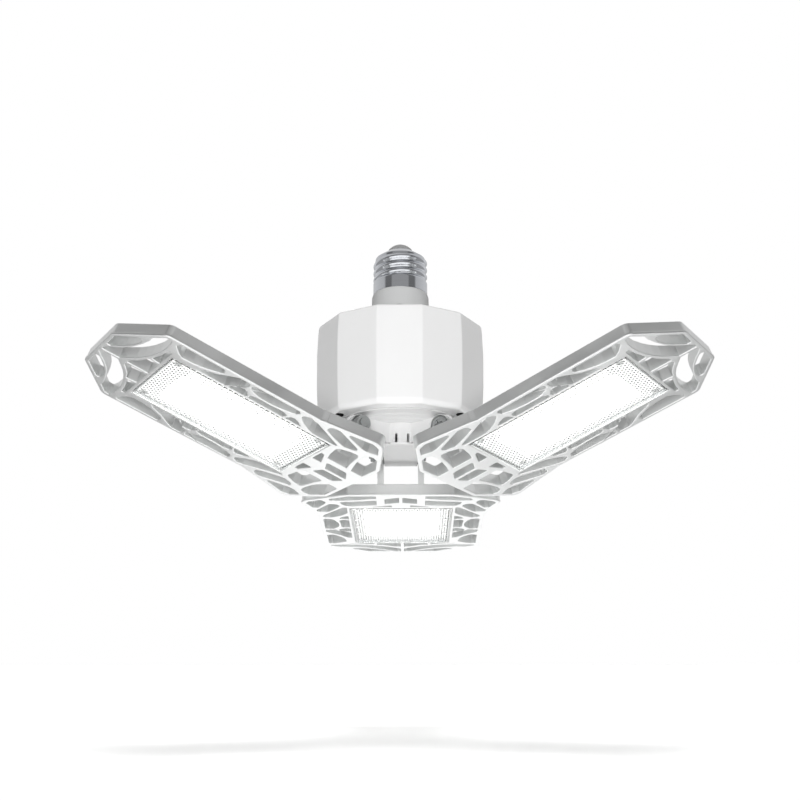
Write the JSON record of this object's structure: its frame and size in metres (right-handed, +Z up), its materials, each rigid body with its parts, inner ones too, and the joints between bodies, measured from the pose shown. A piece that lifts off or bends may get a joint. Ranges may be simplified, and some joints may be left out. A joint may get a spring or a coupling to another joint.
{
  "type": "deformable garage ceiling light",
  "caption": "Screw-in ceiling light: a faceted driver housing carries webbed LED panels that fold on friction hinges, each with a clear prismatic cover.",
  "frame": {"origin": "on the base's axis, at the lower rim of the screw shell, where the shell seats on the collar", "axes": "+Z up along the base's axis towards the lamp holder; the light hangs below; +Y is where the back panel points, and -Y is the side that faces the viewer"},
  "size_m": [0.2718, 0.2471, 0.1235],
  "materials": {
    "contact": "tinned, satin",
    "insulator": "moulded, satin",
    "shell": "rolled sheet, bright",
    "collar": "moulded, fine satin",
    "housing": "moulded, glossy",
    "hub": "powder coated casting, satin",
    "panel": "powder coated casting, satin",
    "grommet": "matte",
    "screws": "zinc plated",
    "hinge_steel": "zinc plated, dull",
    "lens": "clear moulded plastic with fine prisms",
    "led_board": "white solder mask on an aluminium core",
    "led": "phosphor under clear resin",
    "driver_board": "green solder mask",
    "ferrite": "matte sintered",
    "winding_tape": "yellow tape",
    "capacitor": "dark sleeve",
    "chip": "matte",
    "copper": "enamelled wire",
    "wire": "insulation, satin"
  },
  "bodies": {
    "lamp_body": {"centre_contact": "contact", "contact_insulator": "insulator", "screw_shell": "shell", "base_collar": "collar", "housing": "housing", "top_cover": "housing", "top_cover_screws": "screws", "cable_grommets": "grommet", "hub": "hub", "hub_screws": "screws", "driver_board": "driver_board", "driver_screws": "screws", "transformer_core": "ferrite", "transformer_winding": "winding_tape", "capacitors": "capacitor", "driver_chips": "chip", "choke": "copper", "supply_wires": "wire", "panel_leads": "wire"},
    "panel_back": {"panel_frame_back": "panel", "led_board_back": "led_board", "leds_back": "led", "board_screws_back": "screws", "lens_cover_back": "lens", "hinge_screw_back": "hinge_steel", "hinge_washers_back": "hinge_steel", "hinge_nut_back": "hinge_steel"},
    "panel_left": {"panel_frame_left": "panel", "led_board_left": "led_board", "leds_left": "led", "board_screws_left": "screws", "lens_cover_left": "lens", "hinge_screw_left": "hinge_steel", "hinge_washers_left": "hinge_steel", "hinge_nut_left": "hinge_steel"},
    "panel_right": {"panel_frame_right": "panel", "led_board_right": "led_board", "leds_right": "led", "board_screws_right": "screws", "lens_cover_right": "lens", "hinge_screw_right": "hinge_steel", "hinge_washers_right": "hinge_steel", "hinge_nut_right": "hinge_steel"}
  },
  "joints": [
    {"name": "fold_back", "type": "hinge", "parent": "lamp_body", "child": "panel_back", "pos_m": [0, 0.027, -0.0716], "axis": [1, 0, 0], "range_deg": [0, 90]},
    {"name": "fold_left", "type": "hinge", "parent": "lamp_body", "child": "panel_left", "pos_m": [-0.02338, -0.0135, -0.0716], "axis": [-0.5, 0.866, 0], "range_deg": [-20, 70]},
    {"name": "fold_right", "type": "hinge", "parent": "lamp_body", "child": "panel_right", "pos_m": [0.02338, -0.0135, -0.0716], "axis": [-0.5, -0.866, 0], "range_deg": [-20, 70]}
  ]
}
